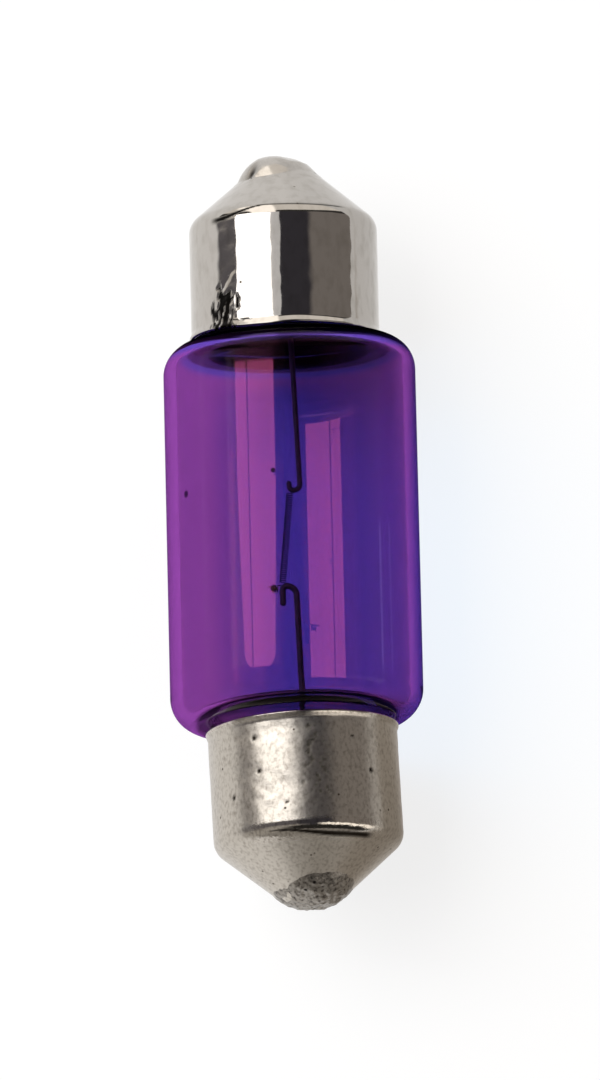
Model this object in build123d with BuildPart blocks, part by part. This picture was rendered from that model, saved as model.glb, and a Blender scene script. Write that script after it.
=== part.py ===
from build123d import *
import os
from dataclasses import dataclass
from math import atan, cos, degrees, radians, sin, tan

# A festoon bulb: a glass tube with a metal cap cemented on each end, and a coiled filament hung
# between two hooked wires inside. It lies along Y, in millimetres, with X to the right and Z up.
# The upper end is +Y. The origin is half-way between the two solder tips, on the axis of the glass.

# Glass tube. Angles are measured from the axis of the tube.
glass_diameter = 11.3
glass_wall = 0.55
tube_length = 17.0
shoulder_angle = 85.0
upper_shoulder_radius = 1.4
lower_shoulder_radius = 1.35
neck_length = 1.5
neck_root_radius = 0.35
closing_angle = 60.0
closing_radius = 1.2
seal_diameter = 1.6
seal_length = 1.4
seal_root_radius = 0.4
seal_edge_radius = 0.2

# Drawn metal caps. The length runs from the open rim to the edge of the hole at the tip.
cap_diameter = 8.45
cap_wall = 0.22
cap_length = 7.88
cap_cone_angle = 49.3
cap_corner_radius = 0.83
cap_hole_diameter = 2.4
rim_flare = 0.12
rim_flare_length = 0.32
rim_flare_radius = 0.4
rim_edge_radius = 0.08

# The caps sit a little off the axis of the glass. The lower one leans to the right and nods upward.
upper_cap_shift = -0.14
lower_cap_shift = 0.2
lower_cap_lean = 2.1
lower_cap_nod = 3.0
upper_rim_gap = 0.11
lower_rim_gap = 0.34

# The cement between the cap's wall and the neck of the glass, and how far it stays inside the rim
cement_thickness = 0.4
cement_recess = 0.3

# Solder nubs. Each is a ball on the cap's axis and a lump beside it, moved across and upward.
upper_solder_rise = 0.53
upper_solder_radius = 1.65
upper_lump_radius = 1.6
upper_lump_across = -0.38
upper_lump_upward = 0.35
lower_solder_rise = 0.312
lower_solder_radius = 2.3
lower_lump_radius = 1.9
lower_lump_across = -0.06
lower_lump_upward = 0.45

# Lead wires. Each hook is given by its corners, from the long run to the cut end.
lead_diameter = 0.28
lead_rise = 0.12
seal_bend_clearance = 0.25
lead_bend_radius = 2.0
hook_tip_radius = 0.2
upper_hook_radius = 0.26
upper_hook = [(0.36, 1.95), (-0.1, 1.77), (-0.15, 2.3)]
lower_elbow = (0.27, -8.3)
lower_hook_radius = 0.42
lower_hook = [(0.09, -2.58), (-0.52, -2.43), (-0.51, -3.4)]

# Filament. The coil hangs between the two hooks' tips.
filament_wire_diameter = 0.05
filament_elbow_diameter = 0.06
coil_radius = 0.135
coil_pitch = 0.09
coil_gap = 0.06

# Sizes that follow from those
glass_radius = glass_diameter / 2
cap_radius = cap_diameter / 2
cap_inner_radius = cap_radius - cap_wall
rim_radius = cap_radius + rim_flare
hole_radius = cap_hole_diameter / 2
lead_radius = lead_diameter / 2
filament_wire_radius = filament_wire_diameter / 2
neck_radius = cap_inner_radius - cement_thickness
inner_neck_radius = neck_radius - glass_wall
seal_radius = seal_diameter / 2

shoulder_slope = tan(radians(shoulder_angle))
closing_slope = tan(radians(closing_angle))
cone_slope = tan(radians(cap_cone_angle))


def corner_inset(wall, turn):
    """How far the inner corner of a wall lies behind its outer corner, for a turn in degrees."""
    return wall * tan(radians(turn) / 2)


# Heights of the glass along its axis, from the middle
shoulder_height = tube_length / 2
rim_seat = shoulder_height + (glass_radius - rim_radius) / shoulder_slope
neck_height = shoulder_height + (glass_radius - neck_radius) / shoulder_slope
closing_height = neck_height + neck_length
seal_height = closing_height + (neck_radius - seal_radius) / closing_slope
seal_end = seal_height + seal_length
inner_closing_height = closing_height - corner_inset(glass_wall, closing_angle)
seal_start = inner_closing_height + (inner_neck_radius - lead_radius) / closing_slope

# Heights along a cap's own axis, from its rim
cone_height = cap_length - (cap_radius - hole_radius) / cone_slope
hole_inner_height = cap_length - cap_wall / sin(radians(cap_cone_angle))
inner_cone_height = cone_height - corner_inset(cap_wall, cap_cone_angle)


@dataclass
class End:
    """One end of the bulb: where its cap stands, and what is its own there."""

    name: str
    plane: Plane
    solder_rise: float
    solder_radius: float
    lump_radius: float
    lump_across: float
    lump_upward: float
    lead_points: list
    lead_radii: list

    @property
    def axis(self):
        return Axis(self.plane.origin, self.plane.y_dir)

    def cap_point(self, across, height, upward=0):
        return self.plane.from_local_coords(Vector(across, height, upward))

    def solder_centre(self, radius, across=0, upward=0):
        return self.cap_point(across, cap_length + self.solder_rise - radius, upward)


lean = radians(lower_cap_lean)
nod = radians(lower_cap_nod)
upper_plane = Plane((upper_cap_shift, rim_seat + upper_rim_gap, 0), x_dir=(1, 0, 0), z_dir=(0, 0, 1))
lower_plane = Plane(
    (lower_cap_shift, -rim_seat - lower_rim_gap, 0),
    x_dir=(-cos(lean), -sin(lean), 0),
    z_dir=(-sin(lean) * sin(nod), cos(lean) * sin(nod), cos(nod)),
)
outer_bend = seal_end + seal_bend_clearance
inner_bend = seal_start - seal_bend_clearance

upper = End(
    name="upper",
    plane=upper_plane,
    solder_rise=upper_solder_rise,
    solder_radius=upper_solder_radius,
    lump_radius=upper_lump_radius,
    lump_across=upper_lump_across,
    lump_upward=upper_lump_upward,
    lead_points=[(0, outer_bend), (0, inner_bend), *upper_hook],
    lead_radii=[lead_bend_radius, lead_bend_radius, upper_hook_radius, hook_tip_radius],
)
lower = End(
    name="lower",
    plane=lower_plane,
    solder_rise=lower_solder_rise,
    solder_radius=lower_solder_radius,
    lump_radius=lower_lump_radius,
    lump_across=lower_lump_across,
    lump_upward=lower_lump_upward,
    lead_points=[(0, -outer_bend), (0, -inner_bend), lower_elbow, *lower_hook],
    lead_radii=[lead_bend_radius, lead_bend_radius, lead_bend_radius, lower_hook_radius, hook_tip_radius],
)


def glass_outside(side, shoulder_radius):
    """Outer corners of one end of the glass, from the seal to the tube, each with its fillet."""
    corners = [
        (seal_radius, seal_end, seal_edge_radius),
        (seal_radius, seal_height, seal_root_radius),
        (neck_radius, closing_height, closing_radius),
        (neck_radius, neck_height, neck_root_radius),
        (glass_radius, shoulder_height, shoulder_radius),
    ]
    return [((radius, side * height), fillet) for radius, height, fillet in corners]


def glass_inside(side, shoulder_radius):
    """Inner corners of one end of the glass, from the seal to the tube, each with its fillet."""
    inset = corner_inset(glass_wall, shoulder_angle)
    corners = [
        (lead_radius, seal_end, 0),
        (lead_radius, seal_start, 0),
        (inner_neck_radius, inner_closing_height, closing_radius - glass_wall),
        (inner_neck_radius, neck_height - inset, neck_root_radius + glass_wall),
        (glass_radius - glass_wall, shoulder_height - inset, shoulder_radius - glass_wall),
    ]
    return [((radius, side * height), fillet) for radius, height, fillet in corners]


glass_skin = glass_outside(1, upper_shoulder_radius) + glass_outside(-1, lower_shoulder_radius)[::-1]
glass_bore = glass_inside(-1, lower_shoulder_radius) + glass_inside(1, upper_shoulder_radius)[::-1]

# Glass envelope: a tube of even wall, drawn in at both ends to a solid seal round each lead wire
with BuildPart() as glass_envelope:
    with BuildSketch():
        with BuildLine():
            wall_corners = glass_skin + glass_bore
            FilletPolyline([point for point, _ in wall_corners], radius=[r for _, r in wall_corners], close=True)
        make_face()
    revolve(axis=Axis.Y)
glass_envelope.part.label = "glass_envelope"

# The space that the glass and what it encloses take up, which the cement is cut by
with BuildPart() as glass_space:
    with BuildSketch():
        with BuildLine():
            space_corners = [((0, seal_end), 0), *glass_skin, ((0, -seal_end), 0)]
            FilletPolyline([point for point, _ in space_corners], radius=[r for _, r in space_corners], close=True)
        make_face()
    revolve(axis=Axis.Y)

# Filament: a close coil whose two ends run straight into the hooks that hold it
upper_grip = Vector(*upper_hook[1])
lower_grip = Vector(*lower_hook[1])
coil_axis = (upper_grip - lower_grip).normalized()
grip_reach = lead_radius + coil_gap
coil_length = (upper_grip - lower_grip).length - 2 * grip_reach
coil_turns = round(coil_length / coil_pitch)
leg_length = coil_gap + lead_diameter

with BuildPart() as filament:
    with BuildLine() as coil:
        Helix(
            pitch=coil_length / coil_turns,
            height=coil_length,
            radius=coil_radius,
            center=lower_grip + coil_axis * grip_reach,
            direction=coil_axis,
        )
    with BuildSketch(Plane(coil.line @ 0, z_dir=coil.line % 0)):
        Circle(filament_wire_radius)
    sweep(path=coil.line, is_frenet=True)
    with Locations(coil.line @ 0, coil.line @ 1):
        Sphere(filament_elbow_diameter / 2)
    upper_leg = Plane(coil.line @ 1, z_dir=coil_axis)
    lower_leg = Plane(coil.line @ 0, z_dir=-coil_axis)
    with BuildSketch(upper_leg, lower_leg):
        Circle(filament_wire_radius)
    extrude(amount=leg_length)
filament.part.label = "filament"

finished = [glass_envelope, filament]
for end, leg in ((upper, upper_leg), (lower, lower_leg)):
    # Lead wire: from inside the solder through the glass seal to the hook round the filament's leg
    with BuildPart() as lead_wire:
        with BuildLine() as route:
            start = end.cap_point(0, cap_length + lead_rise)
            FilletPolyline([(start.X, start.Y), *end.lead_points], radius=end.lead_radii)
        with BuildSketch(Plane(route.line @ 0, z_dir=route.line % 0)):
            Circle(lead_radius)
        sweep(path=route.line)
        with BuildSketch(leg):
            Circle(filament_wire_radius)
        extrude(amount=leg_length, mode=Mode.SUBTRACT)
    lead_wire.part.label = f"{end.name}_lead_wire"

    # Cap: a thin drawn cup with a slightly flared rim and a cone that ends in a round hole
    with BuildPart() as cap:
        flare_turn = degrees(atan(rim_flare / rim_flare_length))
        with BuildSketch(end.plane):
            with BuildLine():
                FilletPolyline(
                    (rim_radius, 0),
                    (cap_radius, rim_flare_length),
                    (cap_radius, cone_height),
                    (hole_radius, cap_length),
                    (hole_radius, hole_inner_height),
                    (cap_inner_radius, inner_cone_height),
                    (cap_inner_radius, rim_flare_length - corner_inset(cap_wall, flare_turn)),
                    (rim_radius - cap_wall / cos(radians(flare_turn)), 0),
                    radius=[
                        rim_edge_radius,
                        rim_flare_radius,
                        cap_corner_radius,
                        0,
                        0,
                        cap_corner_radius - cap_wall,
                        rim_flare_radius + cap_wall,
                        rim_edge_radius,
                    ],
                    close=True,
                )
            make_face()
        revolve(axis=end.axis)
    cap.part.label = f"{end.name}_cap"

    # Cement: fills the cap round the closed end of the glass, up to the hole
    with BuildPart() as cement:
        with BuildSketch(end.plane):
            with BuildLine():
                FilletPolyline(
                    (0, cement_recess),
                    (cap_inner_radius, cement_recess),
                    (cap_inner_radius, inner_cone_height),
                    (hole_radius, hole_inner_height),
                    (0, hole_inner_height),
                    radius=[0, 0, cap_corner_radius - cap_wall, 0, 0],
                    close=True,
                )
            make_face()
        revolve(axis=end.axis)
        add(glass_space.part, mode=Mode.SUBTRACT)
        add(lead_wire.part, mode=Mode.SUBTRACT)
    cement.part.label = f"{end.name}_cement"

    # Solder: two run-together balls on the tip of the cone, and a plug in the hole round the lead wire
    with BuildPart() as solder:
        with Locations(end.solder_centre(end.solder_radius)):
            Sphere(end.solder_radius)
        with Locations(end.solder_centre(end.lump_radius, end.lump_across, end.lump_upward)):
            Sphere(end.lump_radius)
        with BuildSketch(end.plane):
            with BuildLine():
                Polyline(
                    (0, 0),
                    (cap_radius, 0),
                    (cap_radius, cone_height),
                    (hole_radius, cap_length),
                    (0, cap_length),
                    close=True,
                )
            make_face()
        revolve(axis=end.axis, mode=Mode.SUBTRACT)
        with BuildSketch(end.plane):
            with BuildLine():
                Polyline(
                    (0, hole_inner_height),
                    (hole_radius, hole_inner_height),
                    (hole_radius, cap_length),
                    (0, cap_length),
                    close=True,
                )
            make_face()
        revolve(axis=end.axis)
        add(lead_wire.part, mode=Mode.SUBTRACT)
    solder.part.label = f"{end.name}_solder"

    finished += [lead_wire, cap, cement, solder]

os.makedirs("parts", exist_ok=True)
for piece in finished:
    export_step(piece.part, f"parts/{piece.part.label}.step")
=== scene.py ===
# %% [markdown]
# # A festoon bulb, dressed for its picture
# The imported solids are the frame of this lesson: they say where every piece is and how large it is.
# The bulb lies along Y with its upper end at +Y, X to the right and Z up towards the camera.
# Glass and polished metal show every flat of a faceted mesh, so most solids are drawn again here as
# smooth surfaces in the same place, with the wear that the real bulb has. Sizes are in millimetres
# until a mesh is made.

# %% Load the frame
from math import atan, cos, pi, radians, sin, tan

import bmesh
import bpy
import numpy as np
from mathutils import Matrix, Vector


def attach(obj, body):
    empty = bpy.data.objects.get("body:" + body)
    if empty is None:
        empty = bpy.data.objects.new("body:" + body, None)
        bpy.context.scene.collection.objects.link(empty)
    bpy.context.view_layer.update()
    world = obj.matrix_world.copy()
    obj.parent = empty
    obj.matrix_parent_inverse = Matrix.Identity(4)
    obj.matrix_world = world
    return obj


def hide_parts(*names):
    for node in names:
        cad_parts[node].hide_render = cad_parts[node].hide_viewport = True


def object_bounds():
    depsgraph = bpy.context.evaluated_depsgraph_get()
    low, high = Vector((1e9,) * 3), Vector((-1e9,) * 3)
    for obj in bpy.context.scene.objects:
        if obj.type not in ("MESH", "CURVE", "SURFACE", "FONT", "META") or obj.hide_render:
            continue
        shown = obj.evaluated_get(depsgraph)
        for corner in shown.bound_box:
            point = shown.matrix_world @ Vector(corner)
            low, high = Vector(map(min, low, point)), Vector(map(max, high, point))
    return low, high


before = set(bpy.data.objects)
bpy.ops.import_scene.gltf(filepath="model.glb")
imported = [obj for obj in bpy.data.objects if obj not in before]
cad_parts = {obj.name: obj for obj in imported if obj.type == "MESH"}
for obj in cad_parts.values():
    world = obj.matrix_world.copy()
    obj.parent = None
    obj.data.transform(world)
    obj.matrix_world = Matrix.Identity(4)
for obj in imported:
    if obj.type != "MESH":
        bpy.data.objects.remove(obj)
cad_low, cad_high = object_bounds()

MM = 0.001
scene = bpy.context.scene
scene.view_settings.view_transform = "Standard"
print("pieces in the frame:", ", ".join(sorted(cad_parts)))

# %% [markdown]
# ## The camera
# A long lens far above the bulb keeps its sides nearly parallel, where a short lens close by would
# make the near end larger. The camera leans towards the lower end, so it sees more of the lower cap's
# cone, and it is rolled a little, because the bulb leans. Tilt, roll and scale fit the bulb's outline.

# %% Camera
camera_distance = 450.0
camera_tilt = radians(10.27)
camera_roll = radians(1.33)
picture_height = 1080
pixels_per_mm = 22.386
sensor_width = 36.0
nearest_seen = 0.01
aim = Vector((0.304, -0.377, 0.0))

backward = Vector((0, -sin(camera_tilt), cos(camera_tilt)))
level_up = Vector((0, cos(camera_tilt), sin(camera_tilt)))
level_right = Vector((1, 0, 0))
right = level_right * cos(camera_roll) - level_up * sin(camera_roll)
up = level_right * sin(camera_roll) + level_up * cos(camera_roll)

camera = bpy.data.objects.new("camera", bpy.data.cameras.new("camera"))
camera.data.sensor_width = sensor_width
camera.data.lens = sensor_width * pixels_per_mm * camera_distance / picture_height
camera.data.clip_start = nearest_seen
stand = Matrix.Translation((aim + backward * camera_distance) * MM)
camera.matrix_world = stand @ Matrix((right, up, backward)).transposed().to_4x4()
scene.collection.objects.link(camera)
scene.camera = camera
print(f"camera: {camera.data.lens:.1f} mm lens")

# %% [markdown]
# ## From a grid of points to a mesh
# Every new piece is a grid of points: a profile turned about an axis, or a ring carried along a wire.
# Primitives and modifiers could make some of them, but a grid puts each point exactly where a formula
# says. One helper joins neighbouring points into quads, merges the points that meet at a pole and
# turns the faces outwards. Another lets the new piece stand in for its solid.

# %% Grid to mesh
same_place = 1e-8


def unit(vectors):
    """Each vector divided by its own length."""
    return vectors / np.maximum(np.linalg.norm(vectors, axis=-1, keepdims=True), 1e-12)


def skin(name, grid, wrap_rows=True):
    """Quads between neighbours on a grid: (i, j) joins (i+1, j), (i+1, j+1) and (i, j+1).
    The columns always close into rings, and wrap_rows also joins the last row to the first."""
    rows, columns = grid.shape[:2]
    i, j = np.meshgrid(np.arange(rows if wrap_rows else rows - 1), np.arange(columns), indexing="ij")
    corners = [(i, j), (i + 1, j), (i + 1, j + 1), (i, j + 1)]
    quads = np.stack([(a % rows) * columns + b % columns for a, b in corners], axis=-1)
    mesh = bpy.data.meshes.new(name)
    mesh.from_pydata((grid.reshape(-1, 3) * MM).tolist(), [], quads.reshape(-1, 4).tolist())
    shape = bmesh.new()
    shape.from_mesh(mesh)
    bmesh.ops.remove_doubles(shape, verts=shape.verts, dist=same_place)
    bmesh.ops.recalc_face_normals(shape, faces=shape.faces)
    shape.to_mesh(mesh)
    shape.free()
    mesh.polygons.foreach_set("use_smooth", np.ones(len(mesh.polygons), dtype=bool))
    piece = bpy.data.objects.new(name, mesh)
    scene.collection.objects.link(piece)
    print(f"{name}: {len(mesh.polygons)} faces")
    return piece


def stand_in(piece, node):
    """The piece rides on the bulb and takes the place of a solid, which is hidden."""
    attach(piece, "root")
    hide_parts(node)
    return piece


# %% [markdown]
# ## Outlines
# Glass, caps and wires are all drawn by lines with rounded corners, as on a workshop drawing: the
# corners are given with their radii. The line is then cut into short runs, so that a surface turned
# from it can be bent or dented anywhere.

# %% Outline helpers


def rounded(rows, closed, arc_steps):
    """A line through corners, each rounded by an arc that touches both its runs. A row gives a corner's
    two coordinates and its radius. The arc turns about a centre on the corner's bisector, and its
    points are the two end spokes mixed by the sine rule."""
    corners, radii = np.hsplit(np.asarray(rows, float), [2])
    to_last = unit(np.roll(corners, 1, axis=0) - corners)
    to_next = unit(np.roll(corners, -1, axis=0) - corners)
    turn = pi - np.arccos(np.clip((to_last * to_next).sum(1), -1, 1))[:, None]
    centre = corners + unit(to_last + to_next) * radii / np.cos(turn / 2)
    reach = radii * np.tan(turn / 2)
    share = np.linspace(0, 1, arc_steps + 1)[:, None]
    first = (corners + to_last * reach - centre)[:, None]
    last = (corners + to_next * reach - centre)[:, None]
    turn = np.maximum(turn, 1e-6)[:, None]
    spokes = (np.sin((1 - share) * turn) * first + np.sin(share * turn) * last) / np.sin(turn)
    line = np.where(radii[:, None] > 0, centre[:, None] + spokes, corners[:, None]).reshape(-1, 2)
    if not closed:
        line = line[arc_steps : len(line) - arc_steps]
    apart = np.linalg.norm(np.diff(line, axis=0), axis=1) > 1e-6
    return line[np.concatenate([[True], apart])]


def refined(line, longest, closed):
    """The same line with each run cut into equal pieces no longer than the given length."""
    start = line if closed else line[:-1]
    step = (np.roll(line, -1, axis=0) if closed else line[1:]) - start
    pieces = np.maximum(np.ceil(np.linalg.norm(step, axis=1) / longest), 1).astype(int)
    run = np.repeat(np.arange(len(start)), pieces)
    part = np.arange(len(run)) - np.repeat(np.cumsum(pieces) - pieces, pieces)
    points = start[run] + step[run] * (part / pieces[run])[:, None]
    return points if closed else np.concatenate([points, line[-1:]])


def turned(outline, turns):
    """A surface of revolution: radius times the sine and cosine of the angle from +Z gives x and z,
    and the height along the axis is y."""
    angle = np.linspace(0, 2 * pi, turns, endpoint=False)
    radius, height = outline[:, :1], outline[:, 1:]
    return np.stack([radius * np.sin(angle), height + 0 * angle, radius * np.cos(angle)], axis=-1)


# %% [markdown]
# ## The glass
# A length of tube, drawn in at both ends to a round shoulder and a neck that goes into the cap, and
# melted shut round the lead wires. A cylinder with bevelled ends would have no wall. Here outside
# and inside are one closed outline, turned about Y, so light is bent on entering and leaving the wall
# as in the real one.

# %% Sizes of the glass
glass_radius = min(-cad_low.x, cad_high.x, -cad_low.z, cad_high.z) / MM
glass_wall = 0.55
shoulder_height = 8.5
shoulder_angle = radians(85)
neck_length = 1.5
closing_angle = radians(60)
seal_radius = 0.8
seal_length = 1.4
cap_radius = 4.225
cap_wall = 0.22
cement_thickness = 0.4
lead_radius = 0.14


def inset(wall, turn):
    """How far the inner corner of a wall lies behind its outer one: wall times tangent of half the turn."""
    return wall * tan(turn / 2)


cap_inner_radius = cap_radius - cap_wall
neck_radius = cap_inner_radius - cement_thickness
inner_neck = neck_radius - glass_wall
shoulder_inset = inset(glass_wall, shoulder_angle)
neck_height = shoulder_height + (glass_radius - neck_radius) / tan(shoulder_angle)
closing_height = neck_height + neck_length
inner_closing = closing_height - inset(glass_wall, closing_angle)
seal_height = closing_height + (neck_radius - seal_radius) / tan(closing_angle)
seal_end = seal_height + seal_length
seal_start = inner_closing + (inner_neck - lead_radius) / tan(closing_angle)
print(f"glass: {2 * glass_radius:.2f} mm across, {2 * seal_end:.2f} mm long with its seals")

# %% Outline of the glass
neck_root_radius = 0.35
closing_radius = 1.2
seal_root_radius = 0.4
seal_edge_radius = 0.2
glass_run = 0.4


def glass_end(side, outer_shoulder, inner_shoulder):
    """Corners and fillets of one end of the wall: the outside from tube to seal, the inside back."""
    corners = [
        (glass_radius, shoulder_height, outer_shoulder),
        (neck_radius, neck_height, neck_root_radius),
        (neck_radius, closing_height, closing_radius),
        (seal_radius, seal_height, seal_root_radius),
        (seal_radius, seal_end, seal_edge_radius),
        (lead_radius, seal_end, 0),
        (lead_radius, seal_start, 0),
        (inner_neck, inner_closing, closing_radius - glass_wall),
        (inner_neck, neck_height - shoulder_inset, neck_root_radius + glass_wall),
        (glass_radius - glass_wall, shoulder_height - shoulder_inset, inner_shoulder),
    ]
    return [(radius, side * height, fillet) for radius, height, fillet in corners]


upper_corners = glass_end(1, outer_shoulder=1.4, inner_shoulder=0.7)
lower_corners = glass_end(-1, outer_shoulder=1.35, inner_shoulder=0.8)
glass_line = rounded(upper_corners + lower_corners[::-1], closed=True, arc_steps=14)
glass_outline = refined(glass_line, glass_run, closed=True)
print("points round the wall of the glass:", len(glass_outline))

# %% [markdown]
# ## Ends that were closed askew
# The shoulders of a tube that was closed by hand aren't quite square to it. Whole ends could be turned,
# but then the tube would kink. Here the points slide along Y only, by more the nearer they are to the
# shoulder, and the lower end nods with its cap.

# %% Glass envelope
glass_turns = 256
skew_from = 5.0
skew_to = neck_height + 0.5
upper_skew = 0.017
lower_skew = 0.026
lower_nod = radians(3.0)
lower_drop = 0.1


def smooth_step(value, start, end):
    """Nothing before the start, one after the end, and 3t^2 - 2t^3 between."""
    t = np.clip((value - start) / (end - start), 0, 1)
    return t * t * (3 - 2 * t)


glass_grid = turned(glass_outline, glass_turns)
across, height, upward = np.moveaxis(glass_grid, -1, 0)
upper_share = smooth_step(height, skew_from, shoulder_height) * (height < skew_to)
lower_share = smooth_step(-height, skew_from, shoulder_height) * (height > -skew_to)
lower_slide = across * lower_skew + upward * tan(lower_nod) - lower_drop
glass_grid[..., 1] += lower_share * lower_slide + upper_share * across * upper_skew
glass = stand_in(skin("glass_tube", glass_grid), "glass_envelope")

# %% [markdown]
# ## The caps
# Each cap is a thin cup drawn from sheet metal, with a slightly flared rim, a straight wall that the
# lamp holder's contacts grip, and a cone that ends in a hole for the lead wire. A solid turned shape
# would look the same from outside, but its rim would have no edge. Both caps have one outline of the
# sheet, stood on its own axis: the lower cap sits askew.

# %% Outline of a cap
cap_length = 7.88
cone_angle = radians(49.3)
cap_corner_radius = 0.83
hole_radius = 1.2
rim_flare = 0.12
rim_flare_length = 0.32
rim_flare_radius = 0.4
rim_edge_radius = 0.08
cap_run = 0.09

flare_turn = atan(rim_flare / rim_flare_length)
rim_radius = cap_radius + rim_flare
cone_height = cap_length - (cap_radius - hole_radius) / tan(cone_angle)
hole_inner_height = cap_length - cap_wall / sin(cone_angle)
inner_cone_height = cone_height - inset(cap_wall, cone_angle)
cap_corners = [
    (rim_radius, 0, rim_edge_radius),
    (cap_radius, rim_flare_length, rim_flare_radius),
    (cap_radius, cone_height, cap_corner_radius),
    (hole_radius, cap_length, 0),
    (hole_radius, hole_inner_height, 0),
    (cap_inner_radius, inner_cone_height, cap_corner_radius - cap_wall),
    (cap_inner_radius, rim_flare_length - inset(cap_wall, flare_turn), rim_flare_radius + cap_wall),
    (rim_radius - cap_wall / cos(flare_turn), 0, rim_edge_radius),
]
cap_line = rounded(cap_corners, closed=True, arc_steps=12)
cap_outline = refined(cap_line, cap_run, closed=True)
print(f"cap: cone from {cone_height:.2f} mm, {len(cap_outline)} points round its sheet")

# %% Where the caps stand
upper_shift = -0.14
lower_shift = 0.2
upper_rim_gap = 0.11
lower_rim_gap = 0.34
lower_lean = radians(2.1)

rim_seat = shoulder_height + (glass_radius - rim_radius) / tan(shoulder_angle)
cap_feet = {
    "upper": np.array([upper_shift, rim_seat + upper_rim_gap, 0]),
    "lower": np.array([lower_shift, -rim_seat - lower_rim_gap, 0]),
}
cap_axes = {
    "upper": np.eye(3),
    "lower": np.array([
        (-cos(lower_lean), -sin(lower_lean), 0),
        (sin(lower_lean) * cos(lower_nod), -cos(lower_lean) * cos(lower_nod), sin(lower_nod)),
        (-sin(lower_lean) * sin(lower_nod), cos(lower_lean) * sin(lower_nod), cos(lower_nod)),
    ]),
}


def stood(points, end):
    """Points made about the Y axis, moved to a cap: each coordinate runs along one of the cap's axes."""
    return cap_feet[end] + points @ cap_axes[end]


print("cap rims at", ", ".join(f"{foot[1]:.2f} mm" for foot in cap_feet.values()))

# %% [markdown]
# ## Wear on the caps
# The plating of the upper cap has been crushed near the rim, and a scratch leads into the crushed
# place, whose dark colour is a painted reflection of the crumpled plating. The lower cap is pitted.
# A painted picture of this would slide off under other light, so each kind of damage is a function
# over the cap's own angle and height. It moves the points of the mesh, and the same function marks them
# for the finish.

# %% Helpers for wear


def around(points):
    """The angle of each point about the cap's axis, from the side that faces the camera, in degrees."""
    return np.degrees(np.arctan2(points[..., 0], points[..., 2]))


def near(value, middle, reach, soft):
    """One within the reach of a middle value, falling smoothly to nothing over the soft edge."""
    return 1 - smooth_step(np.abs(value - middle), reach - soft, reach)


def unevenness(points, length, seed, waves=32):
    """Smooth noise of about plus or minus one: sine waves of about the given length, summed, in
    seeded directions and phases, over the three coordinates of each point."""
    dice = np.random.default_rng(seed)
    directions = unit(dice.normal(size=(waves, 3))) * 2 * pi / (length * dice.uniform(0.7, 1.5, (waves, 1)))
    phases = dice.uniform(0, 2 * pi, waves)
    return sum(np.sin(points @ d + p) for d, p in zip(directions, phases)) * (2 / waves) ** 0.5


# %% Crushed plating on the upper cap, painted dark as a reflection
torn_depth = 0.02
torn_roughness = 0.012
scratch_depth = 0.03


def crushed_patch(points):
    """How badly the upper cap is crushed: a ragged patch by the upper rim and a dash beside it, with flakes
    of plating left standing in the patch. The mesh is dented there, and its dark colour is a painted
    reflection of the crumpled plating."""
    angle, height = around(points), points[..., 1]
    ragged = unevenness(points * [1, 0.6, 1], length=0.42, seed=3)
    below = 1 - smooth_step(height + 0.3 * ragged, start=1.5, end=1.7)
    patch = near(angle + 2.5 * ragged, middle=-40, reach=9, soft=2) * below
    veins = np.abs(unevenness(points * [1, 0.4, 1], length=0.5, seed=4))
    flakes = 1 - smooth_step(veins, start=0.15, end=0.4)
    dash = near(angle, middle=-25, reach=4, soft=2) * near(height, middle=0.27, reach=0.06, soft=0.03)
    return np.maximum(patch * (1 - flakes), 0.8 * dash)


def scratched(points):
    """A diagonal scratch that leads into the crushed patch: a band of angles that climbs with the height.
    """
    angle, height = around(points), points[..., 1]
    band = near(angle - 9.7 * height, middle=-57.7, reach=1.5, soft=1.0)
    return band * near(height, middle=2.1, reach=0.55, soft=0.15)


def crushed(points):
    """How deep the upper cap is pushed in, in mm: an uneven floor in the crushed patch, and the scratch."""
    floor_depth = torn_depth + torn_roughness * unevenness(points, length=0.3, seed=5)
    return crushed_patch(points) * floor_depth + scratch_depth * scratched(points)


print(f"torn plating: about {torn_depth} mm deep")

# %% Pits in the lower cap
pits = [  # angle in degrees, height and radius in mm
    (30.8, 1.03, 0.17), (28.7, 2.55, 0.14), (49.2, 3.5, 0.15), (-43.6, 2.67, 0.17),
    (-3.4, 0.72, 0.14), (-8.6, 3.2, 0.11), (-6, 1.35, 0.1), (-2.5, 1.95, 0.1),
    (-9.5, 2.45, 0.09), (12, 4.1, 0.1), (-31, 1.2, 0.1),
]


def pitted(points):
    """How badly the lower cap is pitted: round pits at a few places, and a rash of small ones."""
    angle, height = around(points), points[..., 1]
    apart = [np.hypot(np.radians(angle - a) * cap_radius, height - h) / r for a, h, r in pits]
    round_pits = 1 - smooth_step(np.min(apart, axis=0), start=0.4, end=1.0)
    rash_place = near(angle, middle=-7, reach=12, soft=7) * near(height, middle=2.5, reach=2.3, soft=1.2)
    rash = rash_place * smooth_step(unevenness(points, length=0.3, seed=10), start=0.6, end=1.2)
    return np.maximum(round_pits, 0.8 * rash)


print("pits in the lower cap:", len(pits))

# %% Cap shells
cap_turns = 320
rim_sag = 0.09
pit_depth = 0.012
highest_wave = 0.004
deepest_dent = 0.12
waviness = {  # length and depth in mm, and the seed
    "upper": [(2.4, 0.003, 1), (0.7, 0.0012, 2)],
    "lower": [(1.8, 0.004, 8), (0.5, 0.002, 9)],
}


def pushed(points, depth):
    """Points moved towards the cap's axis by a depth: x and z shrink by the depth's share of the radius."""
    radius = np.hypot(points[..., 0], points[..., 2])
    share = (1 - depth / radius)[..., None]
    return points * np.concatenate([share, 0 * share + 1, share], axis=-1)


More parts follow.
